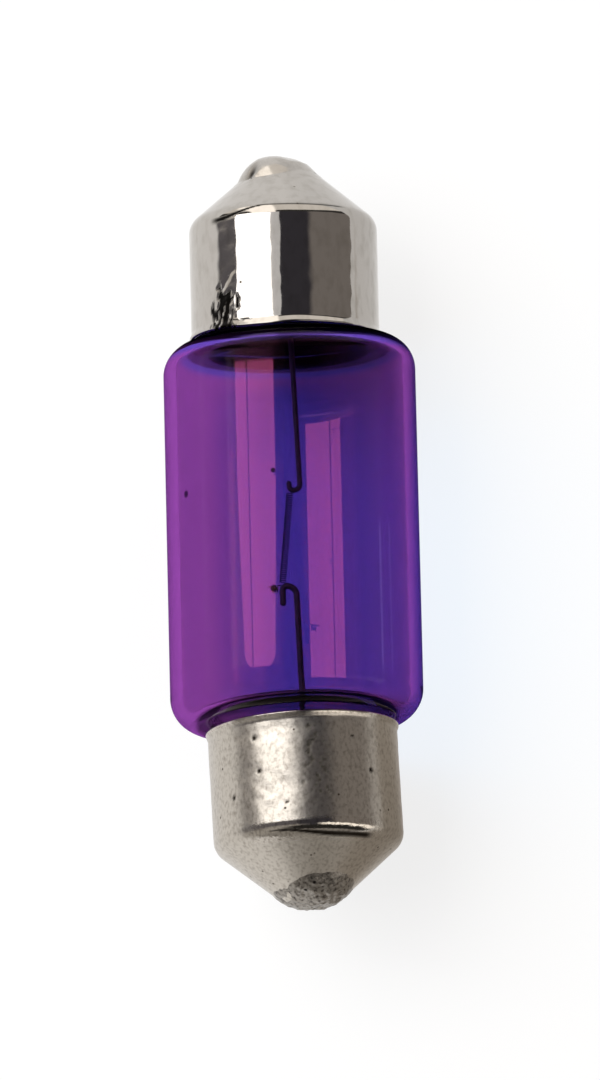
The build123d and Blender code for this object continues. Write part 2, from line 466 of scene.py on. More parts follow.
caps = {}
for end in cap_feet:
    cup = turned(cap_outline, cap_turns)
    outside = np.hypot(cup[..., 0], cup[..., 2]) > cap_radius - cap_wall / 2
    waves = sum(deep * unevenness(cup, length, seed) for length, deep, seed in waviness[end])
    dents = crushed(cup) if end == "upper" else pit_depth * pitted(cup)
    depth = np.clip(waves + dents, -highest_wave, deepest_dent) + highest_wave
    if end == "upper":
        rim = 1 - smooth_step(cup[..., 1], start=0, end=0.8)
        cup[..., 1] -= rim_sag * near(around(cup), middle=-17, reach=24, soft=20) * rim
    cup = pushed(cup, np.where(outside, depth, 0))
    caps[end] = stand_in(skin(f"{end}_cap_shell", stood(cup, end)), f"{end}_cap")

# %% [markdown]
# ## Marks for the finish
# A dark line of painted shade lies where each straight wall turns into the cone, and the lower cap has
# stayed smooth at its rim and its crease. A texture could be painted by hand, but a number on every
# vertex follows the same functions as the shape, so colour and dent stay together.

# %% Marks on the caps


def painted_crease_shade(points, heights, climb, widths, reach):
    """A dark line of painted shade round a shoulder, where the straight wall turns into the cone. Between
    the two angles of its climb it goes from one height to another and from one half width to another, and
    it fades out at the reach (middle, reach, soft)."""
    angle, height = around(points), points[..., 1]
    share = smooth_step(angle, *climb)
    line = heights[0] + (heights[1] - heights[0]) * share
    width = widths[0] + (widths[1] - widths[0]) * share
    return (1 - smooth_step(np.abs(height - line) / width, start=0.4, end=1)) * near(angle, *reach)


def kept_smooth(points):
    """Where the lower cap has stayed smooth: the edge of its rim, and the crease to the cone."""
    angle, height = around(points), points[..., 1]
    crease = near(height, middle=cone_height, reach=0.5, soft=0.3)
    rim = 1 - smooth_step(height, start=0.05, end=0.2)
    return np.maximum(crease * near(angle, middle=-6, reach=48, soft=28), rim)


def cap_places(piece, end):
    """The vertices of a piece in the cap's own terms, in mm: stood() the other way round."""
    places = np.empty(len(piece.data.vertices) * 3)
    piece.data.vertices.foreach_get("co", places)
    return (places.reshape(-1, 3) / MM - cap_feet[end]) @ cap_axes[end].T


def mark(piece, name, shares):
    """A number for every vertex, for the material to read."""
    piece.data.attributes.new(name, "FLOAT", "POINT").data.foreach_set("value", shares)
    print(f"{piece.name}: {name} on {np.mean(shares > 0.5):.1%} of the points")


# Painted shade at each crease: the dark line's heights, climb, half widths and reach for each cap.
painted_crease_lines = {
    "upper": {"heights": (4.92, 5.4), "climb": (-45, -10), "widths": (0.15, 0.05), "reach": (-3, 48, 8)},
    "lower": {"heights": (5.29, 5.56), "climb": (25, -20), "widths": (0.05, 0.13), "reach": (-10, 38, 8)},
}
# The marked colour goes on damage and on painted light: the upper cap's crushed patch, painted dark as a
# reflection, the lower cap's pits, and the painted shade of each crease line.
for end, worn_away in (("upper", crushed_patch), ("lower", pitted)):
    places = cap_places(caps[end], end)
    mark(caps[end], "wear_and_shade", np.maximum(worn_away(places), painted_crease_shade(places, **painted_crease_lines[end])))
mark(caps["lower"], "polish", kept_smooth(cap_places(caps["lower"], "lower")))

# %% [markdown]
# ## The lead wires
# Two stiff wires run from the solder through the glass seals and end in hooks that pinch the ends of
# the filament. A bevelled curve would do, but its hooks would be pinched where they turn sharply. Here
# a ring is carried along each route and shrinks to a point at its cut ends.

# %% Wire helpers


def carried(route, radius, ring):
    """A ring carried along a flat route: each ring stands square to the route, between the route's
    own normal in XY and the Z axis, with the radius given for its place."""
    along = unit(np.gradient(route, axis=0))
    beside = np.stack([-along[:, 1], along[:, 0], 0 * along[:, 0]], axis=-1)[:, None]
    angle = np.linspace(0, 2 * pi, ring, endpoint=False)[None, :, None]
    centre = np.concatenate([route, 0 * route[:, :1]], axis=1)[:, None]
    return centre + radius[:, None, None] * (beside * np.cos(angle) + np.array([0, 0, 1]) * np.sin(angle))


def rounded_ends(route, radius):
    """The radius along a route: full in the middle, a quarter circle down to nothing at each end."""
    length = np.concatenate([[0], np.cumsum(np.linalg.norm(np.diff(route, axis=0), axis=1))])
    to_end = np.minimum(length, length[-1] - length)
    return radius * np.sqrt(np.clip(1 - (1 - np.clip(to_end / radius, 0, 1)) ** 2, 0, 1))


# %% Lead wires
bend_radius = 2.0
upper_hook = [(0.36, 1.95, 0.26), (-0.1, 1.77, 0.2), (-0.15, 2.3, 0)]  # x, y and bend radius
lower_hook = [(0.09, -2.58, 0.42), (-0.52, -2.43, 0.2), (-0.51, -3.4, 0)]
lower_elbow = (0.27, -8.3, bend_radius)
seal_clearance = 0.25
lead_rise = 0.12
wire_radius = {"upper": 0.12, "lower": lead_radius}
wire_run = 0.05
wire_sides = 20

outer_bend = seal_end + seal_clearance
inner_bend = seal_start - seal_clearance
in_solder = np.array([0, cap_length + lead_rise, 0])
bends = {
    "upper": [(0, outer_bend, bend_radius), (0, inner_bend, bend_radius), *upper_hook],
    "lower": [(0, -outer_bend, bend_radius), (0, -inner_bend, bend_radius), lower_elbow, *lower_hook],
}
leads = {}
for end in bends:
    start = (*stood(in_solder, end)[:2], 0)
    route = refined(rounded([start, *bends[end]], closed=False, arc_steps=16), wire_run, closed=False)
    wire = carried(route, rounded_ends(route, wire_radius[end]), wire_sides)
    piece = skin(f"{end}_hooked_lead", wire, wrap_rows=False)
    leads[end] = stand_in(piece, f"{end}_lead_wire")

# %% [markdown]
# ## The filament
# Fine tungsten wire wound into a close coil that hangs between the two hooks. A striped cylinder would
# pass from afar, but a coil can be looked through. Each end leaves the coil as a straight leg into its
# hook. A short end of the coil sticks out to the left below the lower hook, where it was cut off.

# %% Filament
coil_radius = 0.135
coil_pitch = 0.09
filament_radius = 0.025
upper_reach = 0.05
lower_reach = 0.11
leg_length = 0.15
turn_steps = 20
filament_sides = 8
tail_from = np.array([-0.2, -0.17, 0])
tail_to = np.array([-0.5, -0.2, 0])


def wound(start, end):
    """Wire wound about the line between two points: its centre runs round a circle while it climbs the
    line evenly, and the ring of the wire stands between the spoke of that circle and its own side.
    At each end the wire leaves the circle as a straight leg along the line."""
    axis = unit(end - start)
    side = np.array([axis[1], -axis[0], 0])
    back = np.cross(axis, side)
    length = np.linalg.norm(end - start)
    turns = round(length / coil_pitch)
    angle = np.linspace(0, 2 * pi * turns, turns * turn_steps + 1)[:, None]
    spoke = side * np.cos(angle) + back * np.sin(angle)
    sweep = back * np.cos(angle) - side * np.sin(angle)
    centre = start + axis * length * angle / angle[-1] + coil_radius * spoke
    along = unit(sweep * 2 * pi * coil_radius + axis * length / turns)
    leg = axis * leg_length
    centre = np.concatenate([centre[[0, 0]] - leg, centre, centre[[-1, -1]] + leg])
    along = np.concatenate([[axis, axis], along, [axis, axis]])
    spoke = np.concatenate([spoke[[0, 0]], spoke, spoke[[-1, -1]]])
    ring_angle = np.linspace(0, 2 * pi, filament_sides, endpoint=False)[None, :, None]
    ring = spoke[:, None] * np.cos(ring_angle) + np.cross(along, spoke)[:, None] * np.sin(ring_angle)
    radius = np.full((len(centre), 1, 1), filament_radius)
    radius[[0, -1]] = 0
    return centre[:, None] + radius * ring


lower_grip = np.array([*lower_hook[1][:2], 0])
upper_grip = np.array([*upper_hook[1][:2], 0])
coil_axis = unit(upper_grip - lower_grip)
coil = wound(lower_grip + coil_axis * lower_reach, upper_grip - coil_axis * upper_reach)
filament = stand_in(skin("coiled_filament", coil, wrap_rows=False), "filament")
cut_end = wound(lower_grip + tail_from, lower_grip + tail_to)
tail = stand_in(skin("filament_tail", cut_end, wrap_rows=False), "filament")

# %% [markdown]
# ## Solder nubs
# A drop of solder closes the hole in each cone and holds the lead wire. Two joined spheres would meet in
# a sharp valley. Here the drop is a height over the cap's cross-section: two balls that have run
# together, one on the cap's axis and a lump beside it, with a foot that creeps out over the cone. The
# upper drop is smooth with a dent, the lower one is grainy.

# %% Heights over a cap


def ball(x, z, radius, across, upward, rise):
    """Height of a ball over a cap's cross-section: its middle, plus the root of its squared radius less
    the squared distance. Outside the ball the height falls away fast."""
    left_over = radius**2 - (x - across) ** 2 - (z - upward) ** 2
    middle = cap_length + rise - radius
    return middle + np.sqrt(np.maximum(left_over, 0)) - 4 * np.maximum(-left_over, 0)


def blended(a, b, width):
    """The larger of two heights, rounded where they cross: the logarithm of their summed exponentials."""
    return np.logaddexp(a / width, b / width) * width


def cone_top(x, z):
    """Height of the cone: level over the hole, then falling by the way out over the angle's tangent."""
    return cap_length - np.maximum(np.hypot(x, z) - hole_radius, 0) / tan(cone_angle)


def swelling(x, z, across, upward, reach):
    """A round swelling of height one over a place on the cross-section: a bell curve of the distance."""
    return np.exp(-((x - across) ** 2 + (z - upward) ** 2) / (2 * reach**2))


print(f"cone's tip: {cone_top(0, 0):.2f} mm from the rim")

# %% Solder
solder_reach = 2.5
solder_turns = 192
top_rows = 70
under_rows = 12
solder_sunk = 0.12
ball_blend = 0.03
foot_fall = 0.03
dent = (-1.32, 1.4, 0.15)
dent_lip = (-1.3, 1.72, 0.1)
dent_depth = 0.2
dent_lip_height = 0.07
balls = {  # radius, and how far across and upward
    "upper": [(1.65, 0, 0), (1.6, -0.38, 0.35)],
    "lower": [(2.3, 0, 0), (1.9, -0.2, 0.45)],
}
drops = {
    "upper": {"rise": 0.47, "grain": 0.007, "creep": 0.17, "foot": 0.012},
    "lower": {"rise": 0.295, "grain": 0.03, "creep": 0.1, "foot": -0.06},
}

solders = {}
angle = np.linspace(0, 2 * pi, solder_turns, endpoint=False)
share = np.concatenate([np.linspace(0, 1, top_rows), np.linspace(1, 0, under_rows)])[:, None]
is_under = (np.arange(len(share)) >= top_rows)[:, None]
for end, drop in drops.items():
    _, lump_across, lump_upward = balls[end][1]
    x = lump_across / 2 + solder_reach * share * np.sin(angle)
    z = lump_upward / 2 + solder_reach * share * np.cos(angle)
    top = blended(*(ball(x, z, *each, drop["rise"]) for each in balls[end]), ball_blend)
    place = np.stack([x, top, z], axis=-1)
    grain = unevenness(place, length=0.9, seed=11) + 0.6 * unevenness(place, length=0.35, seed=12) - 1
    foot = drop["foot"] - foot_fall * smooth_step(share, start=0.7, end=1)
    top = blended(top + drop["grain"] * grain, cone_top(x, z) + foot, drop["creep"])
    if end == "upper":
        top = top - dent_depth * swelling(x, z, *dent) + dent_lip_height * swelling(x, z, *dent_lip)
    under = cone_top(x, z) - solder_sunk
    place = np.stack([x, np.where(is_under, under, np.maximum(top, under)), z], axis=-1)
    nub = skin(f"{end}_solder_nub", stood(place, end), wrap_rows=False)
    solders[end] = stand_in(nub, f"{end}_solder")
# The dent in the upper drop is marked, and the marked colour paints shade into it.
places = cap_places(solders["upper"], "upper")
mark(solders["upper"], "wear_and_shade", swelling(places[:, 0], places[:, 2], *dent))

# %% [markdown]
# ## Finishes
# Colours are written as sRGB hex values, as a paint chart gives them, and turned to linear light by
# one function. Another small function adds a node, sets it and links it. A zone is a place on the bulb
# or in the room with soft edges, given by where it starts and where it is full.

# %% Material helpers
TIMES = {"operation": "MULTIPLY"}
BLEND = {"data_type": "RGBA", "out": "Result"}


def colour(code):
    """sRGB hex to linear RGBA: the low values divided by 12.92, the rest raised to the power 2.4."""
    srgb = np.array([int(code[i : i + 2], 16) for i in (1, 3, 5)]) / 255
    linear = np.where(srgb <= 0.04045, srgb / 12.92, ((srgb + 0.055) / 1.055) ** 2.4)
    return (*linear, 1.0)


def put(tree, kind, inputs=None, out=0, **settings):
    """Adds one node: settings are its own properties, and inputs give a socket a value or a link.
    Gives back one of its outputs, or the whole node where out is None."""
    node = tree.nodes.new(f"ShaderNode{kind}")
    for key, value in settings.items():
        setattr(node, key, value)
    for key, value in (inputs or {}).items():
        if isinstance(value, bpy.types.NodeSocket):
            tree.links.new(value, node.inputs[key])
        else:
            node.inputs[key].default_value = value
    return node if out is None else node.outputs[out]


def axes(tree, space="Object"):
    """X, Y and Z of the shaded place in the object's own space, or of another kind of coordinate."""
    return put(tree, "SeparateXYZ", {0: put(tree, "TexCoord", out=space)}, out=None).outputs


def zone(tree, *limits):
    """How far a place lies within all its limits (value, start, end): each gives nothing at the start
    and one at the end, with a smooth step between, and they are multiplied."""
    share = 1.0
    for value, start, end in limits:
        inputs = {"Value": value, "From Min": start, "From Max": end}
        step = put(tree, "MapRange", inputs, interpolation_type="SMOOTHSTEP")
        share = put(tree, "Math", {0: share, 1: step}, **TIMES)
    return share


def new_material(name):
    """An empty node material and its tree."""
    material = bpy.data.materials.new(name)
    material.use_nodes = True
    material.node_tree.nodes.clear()
    return material, material.node_tree


def finished(material, shader):
    """The material with this shader as its surface."""
    put(material.node_tree, "OutputMaterial", {"Surface": shader}, out=None)
    print(f"{material.name}: {len(material.node_tree.nodes)} nodes")
    return material


def dress(piece, *materials):
    """The piece wears these materials."""
    piece.data.materials.clear()
    for material in materials:
        piece.data.materials.append(material)


# %% [markdown]
# ## Violet lacquer
# The colour of the bulb is a clear violet lacquer that was dipped over the glass. Tinted glass with an
# absorbing inside would be darker at the rim, and the real one isn't. So the tint is on the outer skin,
# with a few specks, two pale lines of painted reflection, a dark band of painted shade next to the caps
# and painted shade on the upper shoulder.

# %% Lacquer
glass_index = 1.5
clear_glass = {"Roughness": 0.0, "IOR": glass_index, "Transmission Weight": 1.0}
specks_in_lacquer = [  # place and radius in mm
    ((-4.708, 1.251, 3.123), 0.2),
    ((-0.816, 1.779, 5.591), 0.14),
    ((-0.9, -3.51, 5.578), 0.2),
]
# Two pale lines painted into the lacquer stand in for the reflection of a light on the right.
painted_light_streaks = [(radians(42.9), 0.7), (radians(49.1), 0.4)]  # angle round the tube, and strength


def lamp_lit(tree, shader, tint):
    """The shader, but clear and tinted for light on its way from a lamp, so the light gets through."""
    from_lamp = put(tree, "LightPath", out="Is Shadow Ray")
    passing = put(tree, "BsdfTransparent", {"Color": tint})
    return put(tree, "MixShader", {0: from_lamp, 1: shader, 2: passing})


# Lacquer on glass, dipped: smooth and clear, so it gives the eye a deep violet and sharp reflections
lacquer, tree = new_material("violet_lacquered_glass")
place = put(tree, "TexCoord", out="Object")
shade = colour("#AA53C3")
for middle, radius in specks_in_lacquer:
    apart = put(tree, "VectorMath", {0: place, 1: Vector(middle) * MM}, out="Value", operation="DISTANCE")
    speck = put(tree, "MapRange", {"Value": apart, "From Min": radius * MM, "From Max": 0.6 * radius * MM})
    shade = put(tree, "Mix", {"Factor": speck, "A": shade, "B": colour("#0D031D")}, **BLEND)

X, Y, Z = axes(tree)
turn = put(tree, "Math", {0: X, 1: Z}, operation="ARCTAN2")
# Each pale line is a painted reflection: a light colour mixed into the lacquer along one angle round the
# tube.
for streak_turn, strength in painted_light_streaks:
    off = put(tree, "Math", {0: turn, 1: streak_turn}, operation="SUBTRACT")
    off = put(tree, "Math", {0: off}, operation="ABSOLUTE")
    ends = [(Y, -7.4 * MM, -6.4 * MM), (Y, 0, -1 * MM)]
    scratch = zone(tree, (off, radians(0.8), radians(0.3)), *ends)
    scratch = put(tree, "Math", {0: scratch, 1: strength}, **TIMES)
    shade = put(tree, "Mix", {"Factor": scratch, "A": shade, "B": colour("#EDAAED")}, **BLEND)
shine = colour("#593F38")
tinted = put(tree, "BsdfPrincipled", {"Base Color": shade, "Specular Tint": shine, **clear_glass})
print("specks in the lacquer:", len(specks_in_lacquer))

# %% Painted shade on the lacquer, by the caps and on the upper shoulder
flat_place = put(tree, "VectorMath", {0: place, 1: (1, 0, 1)}, **TIMES)
from_axis = put(tree, "VectorMath", {0: flat_place}, out="Value", operation="LENGTH")
in_upper_half = (Y, -1 * MM, 1 * MM)
# The upper shoulder is painted in shade: a blue-violet refraction colour stands in for the shade seen
# through it.
painted_upper_shade = zone(tree, (from_axis, 5.5 * MM, 5.1 * MM), in_upper_half)
shaded_refraction = put(tree, "BsdfRefraction", {"Color": colour("#9090ED"), "Roughness": 0.0, "IOR": glass_index})
upper_shaded_glass = put(tree, "MixShader", {0: painted_upper_shade, 1: tinted, 2: shaded_refraction})

# A matt near-black diffuse next to each cap is painted shade of the gap under the rim. It is narrower and
# weaker at the lower end.
upper_half = zone(tree, in_upper_half)
gap_shade_shift = put(tree, "MapRange", {"Value": upper_half, "To Min": 0.25 * MM, "To Max": 0.0})
gap_shade_place = put(tree, "Math", {0: from_axis, 1: gap_shade_shift}, operation="ADD")
gap_shade_strength = put(tree, "MapRange", {"Value": upper_half, "To Min": 0.6, "To Max": 0.75})
gap_shade_share = put(tree, "Math", {0: zone(tree, (gap_shade_place, 4.9 * MM, 4.6 * MM)), 1: gap_shade_strength}, **TIMES)
painted_gap_shade = put(tree, "BsdfDiffuse", {"Color": colour("#100D12")})
gap_shaded_glass = put(tree, "MixShader", {0: gap_shade_share, 1: upper_shaded_glass, 2: painted_gap_shade})
finished(lacquer, lamp_lit(tree, gap_shaded_glass, colour("#AAE1FF")))

# %% [markdown]
# ## Mirror coat
# The inside carries a thin warm film, so a lamp shows twice: once in the front wall and once, turned
# round, in the back wall. Brighter lamps would give the same streaks, but they would burn out the
# metal. So the film is a weak mirror of its own, where the wall is seen square on. It stops short of
# the shoulders, and on the front wall it narrows towards the lower end, where it has a round tip.

# %% Mirror coat
film_share = 0.28
front_share = 0.535
film_middle = -0.43 * MM
front_film_turn = radians(-17.4)

# Metal film on glass, deposited: nearly clear, and a faint warm mirror that shows the lamps as streaks
mirror_coat, tree = new_material("mirror_coated_glass")
untinted = colour("#FFFFFF")
shine = colour("#957C6C")
clear = put(tree, "BsdfPrincipled", {"Base Color": untinted, "Specular Tint": shine, **clear_glass})
on_front = put(tree, "NewGeometry", out="Backfacing")
on_back = put(tree, "Math", {0: 1.0, 1: on_front}, operation="SUBTRACT")
X, Y, Z = axes(tree)

facing = put(tree, "LayerWeight", {"Blend": 0.5}, out="Facing")
steeper = put(tree, "Math", {0: on_front, 1: 1.0}, operation="ADD")
slant = put(tree, "Math", {0: facing, 1: steeper}, **TIMES)
to_middle = put(tree, "Math", {0: Y, 1: film_middle}, operation="SUBTRACT")
to_middle = put(tree, "Math", {0: to_middle}, operation="ABSOLUTE")
film = zone(tree, (slant, 0.22, 0.15), (to_middle, 7.4 * MM, 7.15 * MM))
strength = put(tree, "MapRange", {"Value": on_front, "To Min": 1.0, "To Max": front_share})
film = put(tree, "Math", {0: film, 1: strength}, **TIMES)
print(f"mirror coat: {film_share:.0%} of the light at most")

# %% Outline of the front film
turn = put(tree, "Math", {0: X, 1: Z}, operation="ARCTAN2")
sideways = put(tree, "Math", {0: turn, 1: front_film_turn}, operation="SUBTRACT")
half_width = put(tree, "MapRange", {
    "Value": Y, "From Min": -7 * MM, "From Max": 4 * MM,
    "To Min": radians(7.5), "To Max": radians(10.5),
})
sideways = put(tree, "Math", {0: sideways, 1: half_width}, operation="DIVIDE")
endways = put(tree, "MapRange", {"Value": Y, "From Min": -6.3 * MM, "From Max": -7.1 * MM})
to_edge = put(tree, "CombineXYZ", {"X": sideways, "Y": endways})
squared = put(tree, "VectorMath", {0: to_edge, 1: to_edge}, out="Value", operation="DOT_PRODUCT")
front_film = put(tree, "Math", {0: zone(tree, (squared, 1.08, 0.92)), 1: on_back}, operation="MAXIMUM")
film = put(tree, "Math", {0: film, 1: front_film}, **TIMES)
warmth = put(tree, "Mix", {"Factor": film, "A": colour("#000000"), "B": colour("#FFE799")}, **BLEND)
gleam = put(tree, "BsdfGlossy", {"Color": warmth, "Roughness": 0.0})
coated = put(tree, "MixShader", {0: film_share, 1: clear, 2: gleam})
finished(mirror_coat, lamp_lit(tree, coated, untinted))

# %% Both skins of the glass
dress(glass, lacquer, mirror_coat)
faces = len(glass.data.polygons)
normals, centres = np.empty(faces * 3), np.empty(faces * 3)
glass.data.polygons.foreach_get("normal", normals)
glass.data.polygons.foreach_get("center", centres)
faces_out = (normals * centres).reshape(-1, 3)[:, [0, 2]].sum(axis=1) > 0
glass.data.polygons.foreach_set("material_index", np.where(faces_out, 0, 1).astype(np.int32))
print("faces inside the glass:", int((~faces_out).sum()))

# %% [markdown]
# ## Metals
# Both caps are nickel plate. The upper one is still a mirror. The lower one is dulled, so the same lamp
# spreads into a soft band on it, except at the rim and the crease, which stay smooth. A plain grey
# would look like plastic, so one function makes every metal from a clean colour, a fine mottle, specks
# of dirt and the places that its mesh marks, for damage and for painted shade. The grain of plating and
# cast solder is a few thousandths of a millimetre, so it is drawn some fifty times coarser, as coarse as
# it needs to show.

# %% Metal
dirt_roughness = 0.5
polish_share = 0.3
bump_share = 0.6


def noise(tree, length, stretch=1.0):
    """Fine noise in the object's own space, of about the given length in mm, drawn out along Y."""
    place = put(tree, "TexCoord", out="Object")
    place = put(tree, "Mapping", {"Vector": place, "Scale": (1, 1 / stretch, 1)})
    return put(tree, "TexNoise", {"Vector": place, "Scale": 1 / (length * MM), "Detail": 2.0})


def specks(tree, spacing, size):
    """Round specks of dirt: the middles of seeded cells, in about a third of the cells."""
    place = put(tree, "TexCoord", out="Object")
    cells = put(tree, "TexVoronoi", {"Vector": place, "Scale": 1 / (spacing * MM)}, out=None).outputs
    edge = size / spacing
    speck = put(tree, "MapRange", {"Value": cells["Distance"], "From Min": edge, "From Max": 0.5 * edge})
    chosen = put(tree, "MapRange", {"Value": cells["Color"], "From Min": 0.62, "From Max": 0.65})
    return put(tree, "Math", {0: speck, 1: chosen}, **TIMES)


def metal(name, clean, mottle, speck, marked_colour, roughness, grain, metallic=1.0, polished=False):
    """Plated or cast metal. Mottle is (colour, length, stretch), speck is (colour, spacing, size), worn
    is the colour where the mesh is marked, for damage and for painted shade, and grain is the height of
    the bumps in mm. Dirt and marked places are rougher than the clean metal, and a polished piece is
    smoother where its mesh is marked so."""
    material, tree = new_material(name)
    cloud = put(tree, "MapRange", {"Value": noise(tree, *mottle[1:]), "From Min": 0.45, "From Max": 0.75})
    shade = put(tree, "Mix", {"Factor": cloud, "A": colour(clean), "B": colour(mottle[0])}, **BLEND)
    dirt = specks(tree, *speck[1:])
    shade = put(tree, "Mix", {"Factor": dirt, "A": shade, "B": colour(speck[0])}, **BLEND)
    # Marked places take the marked colour: damage such as pits, and painted shade and reflection at the
    # creases, in the crushed patch and in the solder's dent.
    if marked_colour:
        wear_and_shade = put(tree, "Attribute", out="Fac", attribute_name="wear_and_shade")
        shade = put(tree, "Mix", {"Factor": wear_and_shade, "A": shade, "B": colour(marked_colour)}, **BLEND)
        dirt = put(tree, "Math", {0: dirt, 1: wear_and_shade}, operation="MAXIMUM")
    dull = max(dirt_roughness, roughness)
    rough = put(tree, "MapRange", {"Value": dirt, "To Min": roughness, "To Max": dull})
    if polished:
        smooth = put(tree, "Attribute", out="Fac", attribute_name="polish")
        less = put(tree, "MapRange", {"Value": smooth, "To Min": 1.0, "To Max": polish_share})
        rough = put(tree, "Math", {0: rough, 1: less}, **TIMES)
    bumps = noise(tree, mottle[1] * bump_share)
    lift = put(tree, "Bump", {"Height": bumps, "Distance": grain * MM})
    return finished(material, put(tree, "BsdfPrincipled", {
        "Base Color": shade, "Metallic": metallic, "Roughness": rough, "Normal": lift,
    }))


# %% Nickel plate
# Bright nickel plate, still polished: a warm grey mirror that shows the room in sharp bands, with a
# painted dark reflection in its crushed patch and a painted dark line of shade at its crease
dress(caps["upper"], metal(
    "bright_nickel_plate", "#BDB8B2", mottle=("#B0ABA4", 0.4, 2.0), speck=("#6E665C", 0.9, 0.08),
    marked_colour="#12100E", roughness=0.06, grain=0.0008))
# Nickel plate dulled by handling and rust: it spreads the lamp into one soft band, with dark pits and a
# painted dark line of shade at its crease
dress(caps["lower"], metal(
    "dulled_nickel_plate", "#C4BDB3", mottle=("#A0988E", 0.14, 1.5), speck=("#5A5248", 0.5, 0.07),
    marked_colour="#2A241E", roughness=0.28, grain=0.004, polished=True))

# %% Solder and wires
# Solder that flowed well and set smooth: a soft, bright shine, with painted shade in its dent
dress(solders["upper"], metal(
    "bright_solder", "#BDB8B2", mottle=("#B0ABA4", 0.4, 1.0), speck=("#6E665C", 0.6, 0.08),
    marked_colour="#2A2622", roughness=0.18, grain=0.004))
# Solder that set too cold: grey grains with dark hollows between them
dress(solders["lower"], metal(
    "grainy_solder", "#9C968E", mottle=("#3E3834", 0.15, 1.0), speck=("#2C2826", 0.35, 0.1),
    marked_colour=None, roughness=0.36, grain=0.02))
# Wire oxidised by the heat of the seal: the oxide isn't metal to the eye, it is dark brown and dull
for lead in leads.values():
    dress(lead, metal(
        "oxidised_lead_wire", "#3A3032", mottle=("#221A1A", 0.2, 2.0), speck=("#141010", 0.3, 0.05),
        marked_colour=None, roughness=0.5, grain=0.003, metallic=0.0))
# Drawn tungsten that has glowed: almost black, with no shine
for coil_piece in (filament, tail):
    dress(coil_piece, metal(
        "drawn_tungsten", "#26262E", mottle=("#16161A", 0.1, 1.0), speck=("#1C1C20", 0.3, 0.04),
        marked_colour=None, roughness=0.6, grain=0.001, metallic=0.0))

# %% [markdown]
# ## Cement
# A brown paste of resin and stone powder fixes each cap to its neck and bakes hard. It hardly shows, so
# the solids of the frame stay, in a matt material with the grit of the powder.

# %% Basing cement
grit = 0.15
grit_height = 0.02

# Baked cement: matt and brown with darker clouds, so the gap under a rim stays dark
cement, tree = new_material("basing_cement")
cloud = put(tree, "MapRange", {"Value": noise(tree, 2 * grit), "From Min": 0.4, "From Max": 0.7})
shade = put(tree, "Mix", {"Factor": cloud, "A": colour("#3A2A20"), "B": colour("#201610")}, **BLEND)
lift = put(tree, "Bump", {"Height": noise(tree, grit), "Distance": grit_height * MM})
finished(cement, put(tree, "BsdfPrincipled", {"Base Color": shade, "Roughness": 0.85, "Normal": lift}))
for end in cap_feet:
    dress(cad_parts[f"{end}_cement"], cement)

# %% [markdown]
# ## The paper
# White paper lies under the bulb and keeps its soft, coloured shadow. More light would make it whiter,
# and burn out the bulb, so the camera sees it with a glow of its own. The caps mirror a painted copy of
# it, as bright as it is beyond the picture and with painted shade on the right, and the edges of the
# glass mirror a painted violet shadow in the lacquer's tint.

# %% Floor
paper_reach = 3.0
glow_share = 0.8
square = [(-1, -1), (1, -1), (1, 1), (-1, 1)]
floor_mesh = bpy.data.meshes.new("floor")
paper_corners = [(x * paper_reach, y * paper_reach, cad_low.z) for x, y in square]
floor_mesh.from_pydata(paper_corners, [], [(0, 1, 2, 3)])
floor = bpy.data.objects.new("floor", floor_mesh)
scene.collection.objects.link(floor)

# White paper: matt, so that it takes a soft shadow
white_paper, tree = new_material("white_paper")
ray = put(tree, "LightPath", out=None).outputs
paper = put(tree, "BsdfDiffuse", {"Color": colour("#F3F3F3")})
glow = put(tree, "Emission", {"Color": untinted, "Strength": 1.0})
bright = put(tree, "Math", {0: ray["Is Camera Ray"], 1: glow_share}, **TIMES)
seen = put(tree, "MixShader", {0: bright, 1: paper, 2: glow})
print(f"paper: {cad_low.z / MM:.2f} mm from the bulb's axis")

# %% Paper in mirrors
X, Y, _ = axes(tree)
# Metal mirrors a glowing painted copy of the paper: bright on the left, dimmer to the right, with painted
# shade far to the right and towards the lower end.
twice_along = put(tree, "Math", {0: Y, 1: 2.0}, **TIMES)
slant = put(tree, "Math", {0: X, 1: twice_along}, operation="SUBTRACT")
painted_shade_right = zone(tree, (slant, 0, 35 * MM), (X, 0, 10 * MM), (X, 80 * MM, 50 * MM))
level = put(tree, "MapRange", {"Value": X, "From Max": 10 * MM, "To Min": 0.98, "To Max": 0.8})
level = put(tree, "Mix", {"Factor": painted_shade_right, "A": level, "B": 0.33}, out="Result", data_type="FLOAT")
warmth = put(tree, "Mix", {"Factor": painted_shade_right, "A": colour("#FFFEFD"), "B": colour("#FFF3E5")}, **BLEND)
painted_paper_in_metal = put(tree, "Emission", {"Color": warmth, "Strength": level})
# Sharp reflections in the glass edges show a painted violet shadow: lighter violet on the left, dark blue
# on the right.
to_right = zone(tree, (X, -3 * MM, 3 * MM))
violet = put(tree, "Mix", {"Factor": to_right, "A": colour("#6F3C84"), "B": colour("#301E5D")}, **BLEND)
painted_shadow_in_glass = put(tree, "Emission", {"Color": violet, "Strength": 1.0})
mirrored = put(tree, "MixShader", {0: ray["Is Singular Ray"], 1: painted_paper_in_metal, 2: painted_shadow_in_glass})
not_through = {"operation": "SUBTRACT", "use_clamp": True}
reflected = put(tree, "Math", {0: ray["Is Glossy Ray"], 1: ray["Is Transmission Ray"]}, **not_through)
dress(floor, finished(white_paper, put(tree, "MixShader", {0: reflected, 1: seen, 2: mirrored})))

# %% [markdown]
# ## The room
# A mirror looks like what it mirrors, so the room is built for the caps. One even grey would make them
# look like plastic. Round the bulb's axis the room has grey, black and brown parts, and towards its two
# ends there are brighter and darker walls. They give the upper cap its bands and both cones and
# shoulders their tones.

